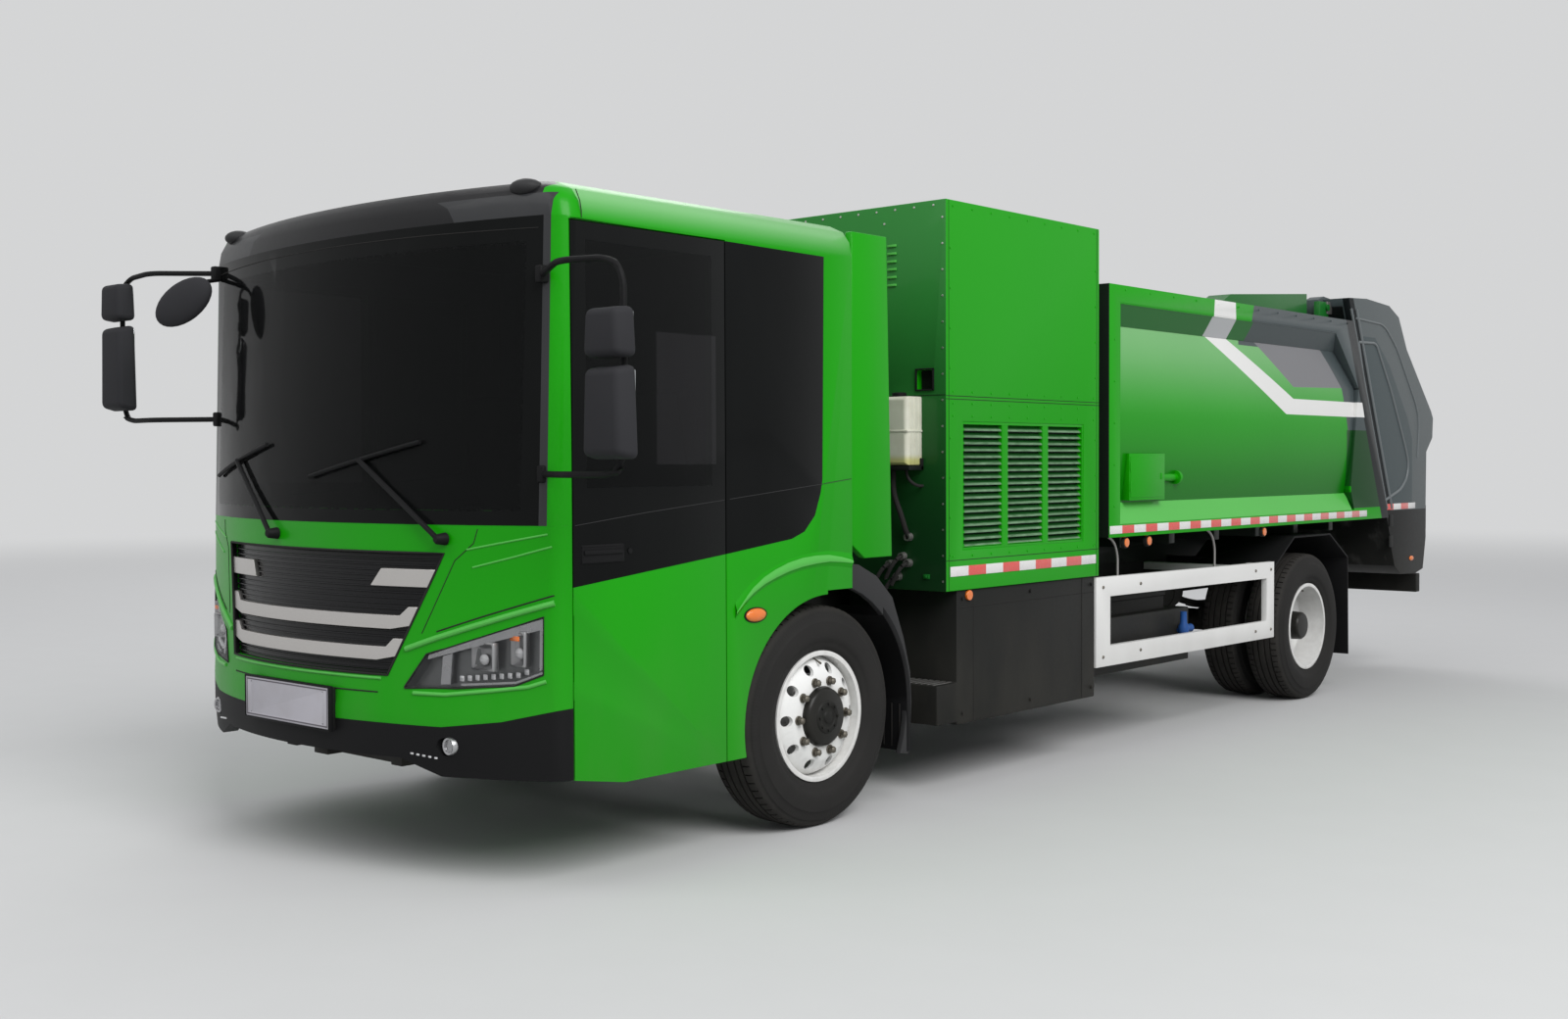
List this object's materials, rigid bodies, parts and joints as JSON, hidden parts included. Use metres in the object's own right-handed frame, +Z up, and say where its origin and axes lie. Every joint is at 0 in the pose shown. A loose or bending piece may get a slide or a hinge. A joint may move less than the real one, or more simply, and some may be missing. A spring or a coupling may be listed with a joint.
{
  "type": "rear loading garbage truck",
  "caption": "Battery electric rear loading garbage truck with tilting cab, hinged doors, steered front wheels, lifting tailgate, packer blade and bin lifter.",
  "frame": {"origin": "on the road under the middle of the truck's length and width", "axes": "the front faces -Y, the driver's side (the truck's left) is +X, +Z is up"},
  "size_m": [3.82, 9.691, 2.9899],
  "materials": {
    "green_paint": "gloss",
    "grey_paint": "satin",
    "black_paint": "satin",
    "white_paint": "satin",
    "tyre_rubber": "matt",
    "glass": "tinted",
    "lamp_lens": "clear",
    "amber_lens": "lens",
    "red_lens": "lens",
    "black_plastic": "grained",
    "bright_trim": "satin",
    "white_plastic": "moulded",
    "plate": "matt",
    "fabric": "woven"
  },
  "bodies": {
    "chassis": {"chassis_frame": "black_paint", "underrun_bar": "black_paint", "front_axle": "black_paint", "rear_axle": "black_paint", "leaf_springs": "black_paint", "drive_motor": "grey_paint", "skirt_boxes": "black_paint", "power_cabinet": "green_paint", "cabinet_louvres": "green_paint", "traction_battery": "black_paint", "expansion_tank": "white_plastic", "mudguards": "black_plastic", "side_guards": "white_paint", "refuse_body": "green_paint", "body_frame": "green_paint", "service_box": "green_paint", "tailgate_mounts": "green_paint", "marker_lamps": "amber_lens"},
    "cab": {"cab_shell": "green_paint", "cab_glass": "glass", "front_panel": "green_paint", "grille": "black_plastic", "grille_bars": "bright_trim", "bumper": "black_plastic", "front_lamps": "lamp_lens", "number_plate": "plate", "mirrors": "black_plastic", "wipers": "black_plastic", "dashboard": "black_plastic", "steering_wheel": "black_plastic", "seats": "fabric", "cab_fairings": "green_paint"},
    "door_left": {"door_left": "green_paint", "door_glass_left": "glass"},
    "door_right": {"door_right": "green_paint", "door_glass_right": "glass"},
    "knuckle_left": {"knuckle_left": "black_paint"},
    "knuckle_right": {"knuckle_right": "black_paint"},
    "tie_rod": {"tie_rod": "black_paint"},
    "wheel_front_left": {"tyre_front_left": "tyre_rubber", "wheel_front_left": "white_paint"},
    "wheel_front_right": {"tyre_front_right": "tyre_rubber", "wheel_front_right": "white_paint"},
    "wheels_rear_left": {"tyres_rear_left": "tyre_rubber", "wheels_rear_left": "white_paint"},
    "wheels_rear_right": {"tyres_rear_right": "tyre_rubber", "wheels_rear_right": "white_paint"},
    "ejector": {"ejector_plate": "grey_paint"},
    "tailgate": {"tailgate_shell": "grey_paint", "tail_lamps": "red_lens"},
    "carriage": {"carriage": "grey_paint"},
    "blade": {"packer_blade": "grey_paint"},
    "lifter": {"bin_lifter": "black_paint"}
  },
  "joints": [
    {"name": "steer_left", "type": "hinge", "parent": "chassis", "child": "knuckle_left", "pos_m": [0.96, -2.8355, 0.512], "axis": [0, 0, 1], "range_deg": [-30, 30]},
    {"name": "steer_right", "type": "hinge", "parent": "chassis", "child": "knuckle_right", "pos_m": [-0.96, -2.8355, 0.512], "axis": [0, 0, 1], "range_deg": [-30, 30]},
    {"name": "tie_rod_pivot", "type": "hinge", "parent": "knuckle_left", "child": "tie_rod", "pos_m": [0.93, -2.5605, 0.36], "axis": [0, 0, 1], "range_deg": [-30, 30]},
    {"name": "spin_front_left", "type": "hinge", "parent": "knuckle_left", "child": "wheel_front_left", "pos_m": [1.1125, -2.8355, 0.512], "axis": [1, 0, 0], "continuous": true},
    {"name": "spin_front_right", "type": "hinge", "parent": "knuckle_right", "child": "wheel_front_right", "pos_m": [-1.1125, -2.8355, 0.512], "axis": [1, 0, 0], "continuous": true},
    {"name": "spin_rear_left", "type": "hinge", "parent": "chassis", "child": "wheels_rear_left", "pos_m": [1.1125, 2.5045, 0.512], "axis": [1, 0, 0], "continuous": true},
    {"name": "spin_rear_right", "type": "hinge", "parent": "chassis", "child": "wheels_rear_right", "pos_m": [-1.1125, 2.5045, 0.512], "axis": [1, 0, 0], "continuous": true},
    {"name": "cab_tilt", "type": "hinge", "parent": "chassis", "child": "cab", "pos_m": [0, -4.5355, 0.52], "axis": [1, 0, 0], "range_deg": [0, 40]},
    {"name": "door_left_hinge", "type": "hinge", "parent": "cab", "child": "door_left", "pos_m": [1.275, -4.3725, 1.5], "axis": [0, 0, -1], "range_deg": [0, 70]},
    {"name": "door_right_hinge", "type": "hinge", "parent": "cab", "child": "door_right", "pos_m": [-1.275, -4.3725, 1.5], "axis": [0, 0, 1], "range_deg": [0, 70]},
    {"name": "ejector_slide", "type": "slide", "parent": "chassis", "child": "ejector", "axis": [0, 1, 0], "range_m": [0, 3.2]},
    {"name": "tailgate_lift", "type": "hinge", "parent": "chassis", "child": "tailgate", "pos_m": [0, 3.09734, 2.8], "axis": [1, 0, 0], "range_deg": [0, 85]},
    {"name": "carriage_slide", "type": "slide", "parent": "tailgate", "child": "carriage", "axis": [0, -0.4289, 0.9034], "range_m": [0, 0.3]},
    {"name": "blade_swing", "type": "hinge", "parent": "carriage", "child": "blade", "pos_m": [0, 3.72175, 1.84], "axis": [1, 0, 0], "range_deg": [0, 75]},
    {"name": "bin_lift", "type": "hinge", "parent": "tailgate", "child": "lifter", "pos_m": [0, 4.7205, 1.05], "axis": [1, 0, 0], "range_deg": [0, 140]}
  ],
  "couplings": [
    {"joint": "steer_right", "follows": "steer_left", "ratio": 1},
    {"joint": "tie_rod_pivot", "follows": "steer_left", "ratio": -1}
  ]
}
